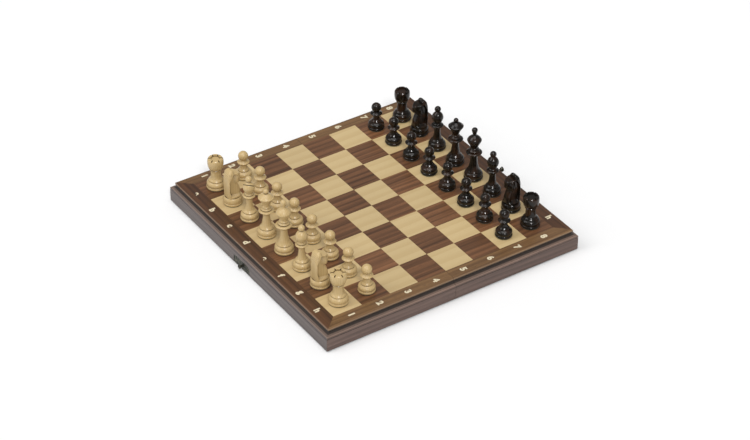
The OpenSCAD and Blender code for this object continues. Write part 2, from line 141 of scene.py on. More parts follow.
def turned_to(azimuth, elevation, roll=0.0):
    """Axes of a camera that looks down at the board: azimuth 0 looks along +Y."""
    a, e, r = (math.radians(v) for v in (azimuth, elevation, roll))
    back = Vector((math.sin(a) * math.cos(e), -math.cos(a) * math.cos(e), math.sin(e)))
    right = Vector((0, 0, 1)).cross(back).normalized()
    up = back.cross(right)
    tilted = (math.cos(r) * right + math.sin(r) * up, math.cos(r) * up - math.sin(r) * right, back)
    return Matrix(tilted).transposed()


# azimuth, elevation and roll in degrees, the point on the squares that it looks at, and its lens
VIEW = (56.17, 36.10, 0.31)
AIM = Vector((0.692 * SQUARE, -0.337 * SQUARE, BOARD_TOP))
VIEW_DISTANCE = 78.43 * SQUARE
LENS, SENSOR = 122.6, 36.0
FARTHEST_SEEN = 20

camera_data = bpy.data.cameras.new("camera")
camera_data.lens = LENS
camera_data.sensor_width = SENSOR
camera_data.clip_end = FARTHEST_SEEN
camera = bpy.data.objects.new("camera", camera_data)
axes = turned_to(*VIEW)
camera.matrix_world = Matrix.Translation(AIM + axes.col[2] * VIEW_DISTANCE) @ axes.to_4x4()
bpy.context.scene.collection.objects.link(camera)
bpy.context.scene.camera = camera

# azimuth and elevation of each light as seen from the board, the angle it fills and its strength
SOFT_LIGHTS = {"key": (66, 43, 10, 1.20),
               "window": (-20, 45, 34, 0.85),
               "overhead": (60, 84, 42, 1.15)}
LIGHT_DISTANCE = 2.0
ROOM_LIGHT, ROOM_STRENGTH = (1.0, 1.0, 1.0, 1), 0.30

for name, (azimuth, elevation, spread, strength) in SOFT_LIGHTS.items():
    lamp = bpy.data.lights.new(name, "SUN")
    lamp.angle = math.radians(spread)
    lamp.energy = strength
    light = bpy.data.objects.new(name, lamp)
    axes = turned_to(azimuth, elevation)
    light.matrix_world = Matrix.Translation(axes.col[2] * LIGHT_DISTANCE) @ axes.to_4x4()
    bpy.context.scene.collection.objects.link(light)

world = bpy.data.worlds.new("studio")
world.use_nodes = True
room = world.node_tree.nodes["Background"].inputs
room["Color"].default_value = ROOM_LIGHT
room["Strength"].default_value = ROOM_STRENGTH
bpy.context.scene.world = world
bpy.context.scene.view_settings.view_transform = "Standard"

# ---------------------------------------------------------------- rails
# Each half is a shallow tray. Its outer rails are solid walnut, run with a cove and a round edge
# on a spindle moulder and mitred at the corners. A plain rail closes the tray at the fold.

MM = 0.001
# pale and dark tone of the rail walnut; the end rails' copy is darker and greyer, painted shade and
# sheen
SIDE_RAIL = ((0.172, 0.101, 0.076, 1), (0.072, 0.041, 0.031, 1))
END_RAIL_SHADE_AND_SHEEN = ((0.122, 0.092, 0.083, 1), (0.055, 0.040, 0.036, 1))
# pale colour of worn edges, also used for the painted highlight on the round edge
RAIL_WORN_AND_HIGHLIGHT = (0.36, 0.25, 0.19, 1)
PORE = (0.018, 0.010, 0.008, 1)
# near black for painted shade in nooks, in the cove and under the border's nose
SHADE_BLACK = (0.010, 0.006, 0.004, 1)
SHADE_REACH = 3.2 * MM


def group(name, inputs, outputs):
    """A node group: inputs and outputs are name: socket type, or name: (type, starting value)."""
    tree = bpy.data.node_groups.new(name, "ShaderNodeTree")
    for socket, kind in inputs.items():
        kind, start = kind if isinstance(kind, tuple) else (kind, None)
        made = tree.interface.new_socket(socket, in_out="INPUT", socket_type="NodeSocket" + kind)
        if start is not None:
            made.default_value = start
    for socket, kind in outputs.items():
        tree.interface.new_socket(socket, in_out="OUTPUT", socket_type="NodeSocket" + kind)
    into = tree.nodes.new("NodeGroupInput")
    outof = tree.nodes.new("NodeGroupOutput")
    return tree, Nodes(tree), into.outputs, outof.inputs


def use(nodes, tree, **values):
    """Places a group in a material and returns its outputs."""
    node = nodes.tree.nodes.new("ShaderNodeGroup")
    node.node_tree = tree
    for name, value in values.items():
        socket = node.inputs[name.replace("_", " ")]
        if isinstance(value, bpy.types.NodeSocket):
            nodes.tree.links.new(value, socket)
        else:
            socket.default_value = value
    return node.outputs


# Sawn wood: X of the vector runs along the grain. Rings and Streaks vary over 0 to 1, Pores is a
# mask of the short open pores, and Height is for bump.
sawn_wood, n, into, outof = group(
    "sawn_wood",
    {"Vector": "Vector", "Ring Width": ("Float", 0.006), "Wander": ("Float", 0.010)},
    {"Rings": "Float", "Streaks": "Float", "Pores": "Float", "Height": "Float"})
grain = into["Vector"]
bow = n.math("SUBTRACT", n.noise(n.stretch(grain, (4, 16, 16)), 1.0, 2.0), 0.5)
drift = n.math("MULTIPLY", bow, into["Wander"])
across = n.add("SeparateXYZ", {0: grain}, out=1)
depth = n.add("SeparateXYZ", {0: grain}, out=2)
slanted = n.math("ADD", across, n.math("MULTIPLY", depth, 0.6))
ring_place = n.math("DIVIDE", n.math("ADD", slanted, drift), into["Ring Width"])
ring = n.math("FRACT", ring_place)
late = n.math("MULTIPLY", n.ramp(ring, 0.15, 0.86), n.ramp(ring, 1.0, 0.90))
fine = n.noise(n.stretch(grain, (10, 420, 420)), 1.0, 4.0, 0.62)
broad = n.noise(n.stretch(grain, (3, 90, 90)), 1.0, 3.0, 0.55)
streaks = n.blend(0.45, fine, broad)
pits = n.ramp(n.noise(n.stretch(grain, (170, 3000, 3000)), 1.0, 1.0), 0.60, 0.72)
pores = n.math("MULTIPLY", pits, n.math("SUBTRACT", 1.0, n.math("MULTIPLY", late, 0.6)))
height = n.math("SUBTRACT", n.math("MULTIPLY", streaks, 0.5), pores)
for socket, value in (("Rings", late), ("Streaks", streaks), ("Pores", pores), ("Height", height)):
    n.tree.links.new(value, outof[socket])

# Edges that hands and cloths rub: Worn is 1 on a sharp outer edge, and Normal is the surface
# rounded there.
rubbed_edges, n, into, outof = group(
    "rubbed_edges",
    {"Radius": ("Float", 0.0006), "Patchy": ("Float", 260.0)},
    {"Worn": "Float", "Normal": "Vector"})
rounded = n.add("Bevel", {"Radius": into["Radius"]}, samples=4)
flat = n.add("NewGeometry", out=1)
alike = n.add("VectorMath", {0: rounded, 1: flat}, out=1, operation="DOT_PRODUCT")
bend = n.math("SUBTRACT", 1.0, alike)
patch = n.ramp(n.noise(n.place(), into["Patchy"], 3.0), 0.35, 0.70)
n.tree.links.new(n.math("MULTIPLY", n.ramp(bend, 0.02, 0.20), patch), outof["Worn"])
n.tree.links.new(rounded, outof["Normal"])

# Painted shade from occlusion, 1 in a groove or a corner of the given width: Inner looks at the
# piece alone, and Outer also at what stands beside it.
occlusion_shade, n, into, outof = group(
    "occlusion_shade", {"Reach": ("Float", 0.002)}, {"Inner": "Float", "Outer": "Float"})
for socket, alone in (("Inner", True), ("Outer", False)):
    open_sky = n.add("AmbientOcclusion", {"Distance": into["Reach"]}, out=1,
                     samples=8, only_local=alone)
    n.tree.links.new(n.ramp(open_sky, 0.90, 0.36), outof[socket])


def grain_along(nodes, axis_name):
    """Object place with X turned along the grain."""
    place = nodes.place()
    if axis_name == "x":
        return place
    x, y, z = (nodes.add("SeparateXYZ", {0: place}, out=i) for i in range(3))
    return nodes.add("CombineXYZ", {0: y, 1: x, 2: z})


def walnut_colour(nodes, wood, pale, dark, worn_and_highlight, worn):
    """Walnut from the sawn wood's outputs: dark rings and streaks, black pores, pale worn edges."""
    tone = nodes.math("ADD", nodes.math("MULTIPLY", wood["Rings"], 0.34),
                      nodes.math("MULTIPLY", nodes.ramp(wood["Streaks"], 0.36, 0.66), 0.66))
    body = nodes.mix(tone, pale, dark)
    pored = nodes.mix(nodes.math("MULTIPLY", wood["Pores"], 0.55), body, PORE)
    return nodes.mix(worn, pored, worn_and_highlight)


# painted shade darkens the cove nearly black, over its dark stain, and the fine line below the
# round edge
COVE_DROP, SHADE_LINE_DROP = 2.45 * MM, 5.2 * MM
COVE_FADE, SHADE_LINE_FADE = 0.4 * MM, (0.5 * MM, 0.2 * MM)
LIP_HIGHLIGHT_FADE = (1.3 * MM, 0.5 * MM)
rail_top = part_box("white_end_rail")[1][2]
cove_z = rail_top - COVE_DROP
shade_line_z = rail_top - SHADE_LINE_DROP


def walnut(name, direction, pale, dark, worn_and_highlight, rough_from, shift, ring_width):
    """Lacquered walnut whose grain runs along a named axis."""
    material, nodes, bsdf = new_material(name, Coat_Weight=0.15, Coat_Roughness=0.30)
    grain_place = nodes.stretch(grain_along(nodes, direction), (1, 1, 1), shift)
    wood = use(nodes, sawn_wood, Vector=grain_place, Ring_Width=ring_width)
    edges = use(nodes, rubbed_edges, Radius=0.7 * MM)
    worn = nodes.math("MULTIPLY", edges["Worn"], 0.55)
    clean = walnut_colour(nodes, wood, pale, dark, worn_and_highlight, worn)
    # painted shade in nooks and corners that neighbouring parts occlude
    nook_shade = nodes.math("MULTIPLY", use(nodes, occlusion_shade, Reach=SHADE_REACH)["Outer"], 0.88)
    height = nodes.add("SeparateXYZ", {0: nodes.place()}, out=2)
    # painted shade in the cove, over its dark stain
    cove_shade = nodes.ramp(height, cove_z, cove_z + COVE_FADE, 0.0, 0.9)
    # painted shade line just below the rail's round edge
    off_shade_line = nodes.math("ABSOLUTE", nodes.math("SUBTRACT", height, shade_line_z))
    shade_line = nodes.ramp(off_shade_line, *SHADE_LINE_FADE, 0.0, 0.8)
    # painted highlight: a pale strip on the rail's round edge, just below the cove
    highlight_low, highlight_high = (cove_z - fade for fade in LIP_HIGHLIGHT_FADE)
    lip_highlight = nodes.math("MULTIPLY", nodes.ramp(height, highlight_low, highlight_high), 0.45)
    highlighted = nodes.mix(lip_highlight, clean, worn_and_highlight)
    # all painted shade: nooks, cove and the line below the round edge
    painted_shade_mask = nodes.math("MAXIMUM", nodes.math("MAXIMUM", nook_shade, cove_shade), shade_line)
    colour = nodes.mix(painted_shade_mask, highlighted, SHADE_BLACK)
    rough = nodes.math("ADD", rough_from, nodes.math("MULTIPLY", wood["Streaks"], 0.16))
    bump = nodes.add("Bump", {"Height": wood["Height"], "Normal": edges["Normal"],
                              "Strength": 0.22, "Distance": 0.0002})
    connect(nodes, bsdf, Base_Color=colour, Roughness=rough, Normal=bump)
    return material


def finish_node(node, material):
    """Gives a CAD node its finished material."""
    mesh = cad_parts[node].data
    mesh.materials.clear()
    mesh.materials.append(material)


SIDES = ("white", "black")
RAILS = (("side_rail_left", "y", SIDE_RAIL), ("side_rail_right", "y", SIDE_RAIL),
         ("end_rail", "x", END_RAIL_SHADE_AND_SHEEN), ("hinge_rail", "x", SIDE_RAIL))
RAIL_ROUGH, RAIL_RINGS = 0.38, 3.5 * MM

for number, side in enumerate(SIDES):
    for node, direction, tones in RAILS:
        # each rail is cut from another place in the plank
        shift = (0.37 * number, 0.011 * len(node), 0.05 * number)
        finish_node(f"{side}_{node}",
                    walnut(f"{side}_{node}_walnut", direction, *tones, RAIL_WORN_AND_HIGHLIGHT, RAIL_ROUGH,
                           shift, RAIL_RINGS))

# ---------------------------------------------------------------- border
# Walnut strips with a nosed outer edge frame the squares. They are mitred at the corners and glued
# down on the rails, with the grain along each strip.

SIDE_STRIP = ((0.225, 0.121, 0.048, 1), (0.098, 0.048, 0.019, 1))
END_STRIP = ((0.118, 0.049, 0.019, 1), (0.042, 0.017, 0.007, 1))
# pale colour of worn edges, also used for the painted highlight on the nose
BORDER_WORN_AND_HIGHLIGHT = (0.36, 0.23, 0.13, 1)
# drops below the top for the painted shade under the nose, and for the painted highlight on it
BORDER_SHADE_DROPS = (1.6 * MM, 2.4 * MM)
BORDER_HIGHLIGHT_DROPS = (0.3 * MM, 0.8 * MM)

for number, side in enumerate(SIDES):
    low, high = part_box(f"{side}_border")
    core_low, core_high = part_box(f"{side}_panel_core")
    side_w = high[0] - core_high[0]
    end_w = max(core_low[1] - low[1], high[1] - core_high[1])
    field_y = max(abs(core_low[1]), abs(core_high[1]))
    material, n, shader = new_material(f"{side}_border_walnut",
                                       Coat_Weight=0.18, Coat_Roughness=0.30)
    place = n.place()
    x, y, z = (n.add("SeparateXYZ", {0: place}, out=i) for i in range(3))
    past_side = n.math("DIVIDE", n.math("SUBTRACT", n.math("ABSOLUTE", x), core_high[0]), side_w)
    past_end = n.math("DIVIDE", n.math("SUBTRACT", n.math("ABSOLUTE", y), field_y), end_w)
    on_side = n.math("GREATER_THAN", past_side, past_end)
    along_x = n.add("CombineXYZ", {0: x, 1: y, 2: z})
    along_y = n.add("CombineXYZ", {0: n.math("ADD", y, 0.31), 1: n.math("ADD", x, 0.17), 2: z})
    grain_place = n.add("Mix", {0: on_side, 4: along_x, 5: along_y}, out=1, data_type="VECTOR")
    wood = use(n, sawn_wood, Vector=n.stretch(grain_place, (1, 1, 1), (0.5 * number, 0.03, 0)),
               Ring_Width=0.006)
    edges = use(n, rubbed_edges, Radius=0.6 * MM)
    pale, dark = (n.mix(on_side, of_end, of_side) for of_end, of_side in zip(END_STRIP, SIDE_STRIP))
    clean = walnut_colour(n, wood, pale, dark, BORDER_WORN_AND_HIGHLIGHT, n.math("MULTIPLY", edges["Worn"], 0.5))
    # painted shade under the border's nose, a little deeper in nooks
    nook_shade = use(n, occlusion_shade, Reach=SHADE_REACH)["Outer"]
    under_nose_shade = n.ramp(z, *(high[2] - drop for drop in BORDER_SHADE_DROPS))
    nose_shade = n.math("MULTIPLY", n.math("ADD", n.math("MULTIPLY", nook_shade, 0.15), 0.82), under_nose_shade)
    # painted highlight along the nosed edge
    lip_highlight = n.math("MULTIPLY", n.ramp(z, *(high[2] - drop for drop in BORDER_HIGHLIGHT_DROPS)), 0.40)
    colour = n.mix(nose_shade, n.mix(lip_highlight, clean, BORDER_WORN_AND_HIGHLIGHT), SHADE_BLACK)
    bump = n.add("Bump", {"Height": wood["Height"], "Normal": edges["Normal"],
                          "Strength": 0.18, "Distance": 0.0002})
    connect(n, shader, Base_Color=colour, Normal=bump,
            Roughness=n.math("ADD", 0.30, n.math("MULTIPLY", wood["Streaks"], 0.16)))
    finish_node(f"{side}_border", material)

# ---------------------------------------------------------------- squares
# Sawn veneers of walnut and maple, cut square and glued to the core like a parquet. Each square
# comes from another place in its leaf, so its grain and tone differ from its neighbours'.

WALNUT_PALE = (0.222, 0.098, 0.042, 1)
WALNUT_DARK = (0.062, 0.026, 0.010, 1)
MAPLE_PALE = (0.586, 0.441, 0.226, 1)
MAPLE_DARK = (0.540, 0.395, 0.194, 1)
MAPLE_FLECK = (0.22, 0.13, 0.06, 1)
PLY_PALE, PLY_DARK = (0.20, 0.12, 0.065, 1), (0.085, 0.048, 0.028, 1)


def veneer(name, is_walnut):
    material, nodes, bsdf = new_material(name, Coat_Weight=0.15, Coat_Roughness=0.30)
    place = nodes.place()
    x, y, z = (nodes.add("SeparateXYZ", {0: place}, out=i) for i in range(3))
    file_number = nodes.math("FLOOR", nodes.math("DIVIDE", x, SQUARE))
    rank_number = nodes.math("FLOOR", nodes.math("DIVIDE", y, SQUARE))
    square_id = nodes.add("CombineXYZ", {0: file_number, 1: rank_number})
    luck = nodes.add("TexWhiteNoise", {"Vector": square_id}, noise_dimensions="3D")
    colour_luck = nodes.add("TexWhiteNoise", {"Vector": square_id}, out=1, noise_dimensions="3D")
    offset = nodes.add("VectorMath", {0: colour_luck, 1: (0.9, 0.4, 0.1)}, operation="MULTIPLY")
    turned = nodes.add("CombineXYZ", {0: y, 1: x, 2: z})
    leaf = nodes.add("VectorMath", {0: turned, 1: offset}, operation="ADD")
    wood = use(nodes, sawn_wood, Vector=leaf, Ring_Width=0.008 if is_walnut else 0.013,
               Wander=0.016)
    if is_walnut:
        colour = walnut_colour(nodes, wood, WALNUT_PALE, WALNUT_DARK, WALNUT_PALE, 0.0)
        tone = nodes.ramp(luck, 0.0, 1.0, 0.84, 1.16)
    else:
        flame = nodes.math("ADD", nodes.math("MULTIPLY", wood["Rings"], 0.35),
                           nodes.math("MULTIPLY", wood["Streaks"], 0.65))
        flecks = nodes.math("MULTIPLY", wood["Pores"], 0.10)
        plain = nodes.mix(nodes.ramp(flame, 0.25, 0.75), MAPLE_PALE, MAPLE_DARK)
        colour = nodes.mix(flecks, plain, MAPLE_FLECK)
        tone = nodes.ramp(luck, 0.0, 1.0, 0.95, 1.04)
    toned = nodes.add("HueSaturation", {"Value": tone, "Color": colour})
    bump = nodes.add("Bump", {"Height": wood["Height"], "Strength": 0.14, "Distance": 0.0001})
    connect(nodes, bsdf, Base_Color=toned, Normal=bump,
            Roughness=nodes.math("ADD", 0.30, nodes.math("MULTIPLY", wood["Streaks"], 0.14)))
    return material


walnut_veneer = veneer("walnut_veneer", True)
maple_veneer = veneer("maple_veneer", False)

# the core shows only as the thin edge between veneer and rail at the fold, and as joint lines
ply, n, shader = new_material("birch_ply", Roughness=0.6)
layers = n.add("TexWave", {"Vector": n.place(), "Scale": 190.0, "Distortion": 0.6},
               bands_direction="Z", wave_profile="SIN")
fibres = n.noise(n.stretch(n.place(), (30, 700, 700)), 1.0, 3.0)
ply_tone = n.math("MULTIPLY", n.math("ADD", layers, fibres), 0.5)
connect(n, shader, Base_Color=n.mix(ply_tone, PLY_PALE, PLY_DARK))
for side in SIDES:
    finish_node(f"{side}_dark_squares", walnut_veneer)
    finish_node(f"{side}_light_squares", maple_veneer)
    finish_node(f"{side}_panel_core", ply)

# ---------------------------------------------------------------- felt
# Thin wool felt lines each tray, and a disc of it is glued under each man.

FELT_DEEP, FELT_NAP = (0.006, 0.020, 0.012, 1), (0.028, 0.068, 0.040, 1)

felt, n, shader = new_material("green_felt", Sheen_Weight=0.35, Sheen_Roughness=0.6)
place = n.place()
nap = n.noise(place, 1900.0, 4.0, 0.7)
clumps = n.noise(place, 230.0, 3.0, 0.6)
felt_tone = n.math("ADD", n.math("MULTIPLY", nap, 0.6), n.math("MULTIPLY", clumps, 0.4))
connect(n, shader, Base_Color=n.mix(felt_tone, FELT_DEEP, FELT_NAP),
        Roughness=n.ramp(clumps, 0.2, 0.8, 0.85, 0.98),
        Normal=n.add("Bump", {"Height": felt_tone, "Strength": 0.8, "Distance": 0.0004}))
for side in SIDES:
    finish_node(f"{side}_felt_lining", felt)

# ---------------------------------------------------------------- ironmongery
# Hinges, latch plates, hook, knob and screws are brass, antiqued nearly black and rubbed back on
# their edges. The plates and leaves are let into the wood.

BRASS_DARK, BRASS_PALE = (0.040, 0.043, 0.035, 1), (0.090, 0.086, 0.064, 1)
BRASS_SPOT, BRASS_BARE = (0.012, 0.014, 0.011, 1), (0.52, 0.41, 0.20, 1)
BRASS_PIECES = ("white_hinge_leaves", "black_hinge_leaves", "white_screws", "black_screws",
                "hinge_pins", "latch_knob_plate", "latch_knob", "latch_pivot_plate",
                "latch_pivot_screw", "latch_hook")

old_brass, n, shader = new_material("antique_brass", Metallic=1.0)
place = n.place()
patina = n.noise(place, 420.0, 4.0, 0.6)
spots = n.ramp(n.noise(place, 1500.0, 2.0), 0.58, 0.70)
edges = use(n, rubbed_edges, Radius=0.4 * MM, Patchy=700.0)
aged = n.mix(n.ramp(patina, 0.35, 0.65), BRASS_DARK, BRASS_PALE)
spotted = n.mix(n.math("MULTIPLY", spots, 0.6), aged, BRASS_SPOT)
connect(n, shader, Base_Color=n.mix(edges["Worn"], spotted, BRASS_BARE),
        Roughness=n.ramp(patina, 0.3, 0.7, 0.52, 0.34),
        Normal=n.add("Bump", {"Height": patina, "Normal": edges["Normal"],
                              "Strength": 0.25, "Distance": 0.0002}))
for node in BRASS_PIECES:
    finish_node(node, old_brass)

# ---------------------------------------------------------------- printed letters and numbers
# The files are lettered along both ends and the ranks numbered along both sides, stamped in
# cream foil on the border and read from the white side.

GLYPH_HEIGHT = 6.6 * MM
CAPITAL = 0.7    # height of a capital letter as the font draws it
FOIL_LIFT = 0.03 * MM
BOLD = 0.055
FILE_NAMES = "abcdefgh"
FOIL_WORN, FOIL_CREAM = (0.50, 0.40, 0.24, 1), (0.82, 0.74, 0.54, 1)

foil, n, shader = new_material("cream_foil", Roughness=0.42)
flake = n.ramp(n.noise(n.place(), 1600.0, 3.0, 0.7), 0.30, 0.62)
connect(n, shader, Base_Color=n.mix(flake, FOIL_WORN, FOIL_CREAM),
        Normal=n.add("Bump", {"Height": flake, "Strength": 0.2, "Distance": 0.0001}))


def evaluated(piece):
    """A new mesh of a piece as its modifiers or its font leave it."""
    bpy.context.view_layer.update()
    graph = bpy.context.evaluated_depsgraph_get()
    return bpy.data.meshes.new_from_object(piece.evaluated_get(graph))


def glyph_mesh(character):
    """Flat mesh of one character, GLYPH_HEIGHT high for a capital, centred on its own box."""
    curve = bpy.data.curves.new("glyph", "FONT")
    curve.body = character
    curve.offset = BOLD
    curve.resolution_u = 6
    holder = bpy.data.objects.new("glyph", curve)
    bpy.context.scene.collection.objects.link(holder)
    mesh = evaluated(holder)
    bpy.data.objects.remove(holder)
    bpy.data.curves.remove(curve)
    points = np.array([v.co for v in mesh.vertices])
    middle = (points.min(0) + points.max(0)) / 2
    return (points - middle) * GLYPH_HEIGHT / CAPITAL, [tuple(p.vertices) for p in mesh.polygons]


CHARACTERS = {c: glyph_mesh(c) for c in FILE_NAMES + "12345678"}
print_z = BOARD_TOP + FOIL_LIFT
for side in SIDES:
    low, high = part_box(f"{side}_border")
    core_low, core_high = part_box(f"{side}_panel_core")
    verts, faces, places = [], [], []
    end_y = (low[1] + core_low[1]) / 2 if side == "white" else (high[1] + core_high[1]) / 2
    side_x = (high[0] + core_high[0]) / 2
    for i in range(FILES):
        places.append((FILE_NAMES[i], (i - FILES / 2 + 0.5) * SQUARE, end_y))
    for i in range(FILES // 2):
        rank = i if side == "white" else i + FILES // 2
        for x in (-side_x, side_x):
            places.append((str(rank + 1), x, (rank - FILES / 2 + 0.5) * SQUARE))
    for character, x, y in places:
        points, polygons = CHARACTERS[character]
        start = len(verts)
        verts += [(px + x, py + y, print_z) for px, py, _ in points]
        faces += [tuple(start + v for v in polygon) for polygon in polygons]
    mesh = bpy.data.meshes.new(f"{side}_lettering")
    mesh.from_pydata(verts, [], faces)
    lettering = put(f"{side}_lettering", mesh, foil)
    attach(lettering, f"{side}_half")

# ---------------------------------------------------------------- turned men
# Kings, queens, bishops, rooks and pawns are turned from boxwood on a lathe. White's are waxed,
# black's are stained and polished. A felt disc is glued under each foot.

# the men's heights and radii are in mm until they are turned into meshes
TURNS = 72
CURVE_STEPS = 7
FELT = 0.8
CREASE = math.radians(38)
ON_AXIS = 0.001 * MM


def tangent(knots, i, way):
    """Slope of the outline at a knot; a corner looks only towards the stretch it is asked for."""
    last = len(knots) - 1
    before, after = (np.array(knots[j][:2]) for j in (max(i - 1, 0), min(i + 1, last)))
    here = np.array(knots[i][:2])
    if knots[i][2] == 0:
        return way * ((after if way > 0 else before) - here)
    if i == last:
        return np.array([0, -before[1]])
    return (after - before) / 2


def outline(knots, steps=CURVE_STEPS):
    """Points of an outline of [height, radius, smooth] knots: a curve passes the smooth ones."""
    points = []
    for i in range(len(knots) - 1):
        a, b = np.array(knots[i][:2]), np.array(knots[i + 1][:2])
        u, v = tangent(knots, i, 1), tangent(knots, i + 1, -1)
        count = 1 if knots[i][2] + knots[i + 1][2] == 0 else steps
        for t in np.arange(count) / count:
            points.append((2 * t**3 - 3 * t**2 + 1) * a + (t**3 - 2 * t**2 + t) * u
                          + (3 * t**2 - 2 * t**3) * b + (t**3 - t**2) * v)
    points.append(np.array(knots[-1][:2]))
    return np.array(points)


def ball(top, radius, neck):
    """Knots of a ball that stands on a neck."""
    start = math.acos(neck / radius)
    angles = [(math.pi / 2 + start) * i / 4 - start for i in range(5)]
    return [[top - radius + radius * math.sin(a), radius * math.cos(a), int(i > 0)]
            for i, a in enumerate(angles)]


def foot(r, ring):
    """Knots of the foot that the turned men share: rim and swelling, then a ring above them."""
    return [[FELT, r - 0.5, 0], [1.9, r, 1], [3.0, r - 0.4, 0], [3.3, r - 0.8, 0],
            [5.4, r - 0.35, 1], [7.3, r - 0.9, 1], [8.8, ring + 0.3, 0],
            [9.1, ring - 0.3, 0], [10, ring, 1], [11, ring - 0.7, 0]]


OUTLINES = {
    "king": foot(10.1, 7.6) + [
        [13.4, 5.6, 1], [18, 4.4, 1], [24, 3.7, 1], [28.2, 3.7, 1], [30, 4.9, 0], [31.2, 7.4, 0],
        [32.3, 8.5, 1], [33.3, 7.6, 0], [33.8, 5.3, 0], [34.8, 5.9, 1], [35.7, 5, 0],
        [36.4, 4.3, 0], [37.3, 4.8, 1], [38.2, 4.2, 0], [39.4, 4, 0], [41.6, 4.9, 1],
        [44.6, 6.6, 1], [47.2, 7.6, 1], [48.4, 7.3, 0], [50, 6.2, 1], [51.8, 4.3, 1],
        [53.2, 2.2, 0], [54.4, 1.9, 1], [57, 2.6, 1], [59.4, 3.1, 1], [61.3, 2.3, 1], [62.2, 0, 1]],
    "queen": foot(10, 7.4) + [
        [13.2, 5.3, 1], [17.5, 4.3, 1], [22.5, 3.6, 1], [26.4, 3.6, 1], [28.1, 4.7, 0],
        [29.2, 7, 0], [30.2, 8, 1], [31.1, 7.2, 0], [31.6, 5.2, 0], [32.5, 5.7, 1], [33.3, 4.7, 0],
        [34, 4, 0], [34.8, 4.4, 1], [35.6, 3.8, 0], [36.8, 3.6, 0], [39.2, 4.4, 1], [42.6, 6.2, 1],
        [45.6, 8, 0], [46.3, 8, 0], [46.7, 7.2, 0], [48.6, 5.4, 1], [50, 3.3, 1], [50.8, 1.9, 0]]
    + ball(55.5, 2.6, 1.5),
    "bishop": foot(9.6, 7) + [
        [12.6, 4.9, 1], [16, 3.9, 1], [20.5, 3.3, 1], [24.8, 3.3, 1], [26.6, 4.1, 0],
        [27.7, 5.7, 0], [28.7, 6.5, 1], [29.6, 5.8, 0], [30.1, 4.2, 0], [30.9, 4.7, 1],
        [31.7, 4, 0], [32.7, 3.6, 0], [34.2, 4.7, 1], [36.6, 5.8, 1], [39.2, 6.1, 1],
        [42.2, 5.1, 1], [44.4, 3.3, 1], [45.6, 2, 0]]
    + ball(51.8, 3.4, 1.9),
    "rook": foot(10.3, 7.8) + [
        [12.4, 6, 1], [15.2, 5.4, 1], [18.5, 5.2, 1], [21.4, 5.3, 0], [21.8, 6, 0], [22.5, 6.3, 1],
        [23.2, 5.8, 0], [24.6, 7.1, 1], [27.2, 8, 1], [31, 8.4, 1], [34.4, 8.1, 1], [36, 7.1, 0],
        [36, 4.9, 0], [34.7, 4.6, 0], [34.7, 0, 0]],
    "pawn": foot(9, 5.8) + [
        [12.4, 4.1, 1], [14.8, 3.4, 1], [16.8, 3.4, 1], [17.8, 4.2, 0], [18.3, 5.8, 0],
        [19.1, 6.5, 1], [19.9, 5.8, 0], [20.6, 4.1, 0], [21.6, 3.5, 1]] + ball(31.5, 5.3, 3.4)}


def lathe(points):
    """Verts and faces of an outline turned about Z; an end that isn't on the axis is capped."""
    verts, faces, rings = [], [], []
    angles = [2 * math.pi * i / TURNS for i in range(TURNS)]
    for height, radius in points:
        if radius < ON_AXIS:
            rings.append([len(verts)])
            verts.append((0.0, 0.0, height))
            continue
        rings.append(list(range(len(verts), len(verts) + TURNS)))
        verts += [(radius * math.cos(a), radius * math.sin(a), height) for a in angles]
    for low_ring, high_ring in zip(rings, rings[1:]):
        for i in range(TURNS):
            j = (i + 1) % TURNS
            if len(low_ring) == 1:
                faces.append((low_ring[0], high_ring[j], high_ring[i]))
            elif len(high_ring) == 1:
                faces.append((low_ring[i], low_ring[j], high_ring[0]))
            else:
                faces.append((low_ring[i], low_ring[j], high_ring[j], high_ring[i]))
    for ring_ids, step in ((rings[0], -1), (rings[-1], 1)):
        if len(ring_ids) > 1:
            faces.append(tuple(ring_ids[::step]))
    return verts, faces


def smooth_mesh(name, verts, faces):
    mesh = bpy.data.meshes.new(name)
    mesh.from_pydata([tuple(v) for v in verts], [], faces)
    mesh.shade_smooth()
    mesh.set_sharp_from_angle(angle=CREASE)
    return mesh


def sawn(mesh, blades):
    """A copy of the mesh with saw cuts taken out; each blade is a matrix for a unit cube."""
    solid = bpy.data.objects.new("solid", mesh)
    tool_mesh = bpy.data.meshes.new("blades")
    shape = bmesh.new()
    for blade in blades:
        bmesh.ops.create_cube(shape, size=1.0, matrix=blade)
    shape.to_mesh(tool_mesh)
    shape.free()
    tool = bpy.data.objects.new("blades", tool_mesh)
    for each in (solid, tool):
        bpy.context.scene.collection.objects.link(each)
    cut = solid.modifiers.new("cut", "BOOLEAN")
    cut.object = tool
    cut.operation = "DIFFERENCE"
    cut.solver = "EXACT"
    cut.use_self = True
    result = evaluated(solid)
    for each in (solid, tool):
        bpy.data.objects.remove(each)
    result.shade_smooth()
    result.set_sharp_from_angle(angle=CREASE)
    return result


def blade(size, height, turn, tilt=0.0, push=0.0):
    """A saw cut of the given size in mm: pushed out, tilted, turned about Z and moved up."""
    return (Matrix.Translation(Vector((0, 0, height)) * MM)
            @ Matrix.Rotation(math.radians(turn), 4, "Z")
            @ Matrix.Rotation(math.radians(tilt), 4, "Y")
            @ Matrix.Translation(Vector((push, 0, 0)) * MM)
            @ Matrix.Diagonal((*(Vector(size) * MM), 1)))


# the bishop's slanted slit reaches to the axis, and three cuts across the rook make its battlements
SLIT_SIZE, SLIT_HEIGHT, SLIT_TILT, SLIT_TURN = (20, 40, 0.8), 40.5, -38, -45
CUT_WIDTH, CUT_DEPTH, CUT_LENGTH, CUTS = 1.2, 1.3, 40, 3
ROOK_TOP = max(knot[0] for knot in OUTLINES["rook"])

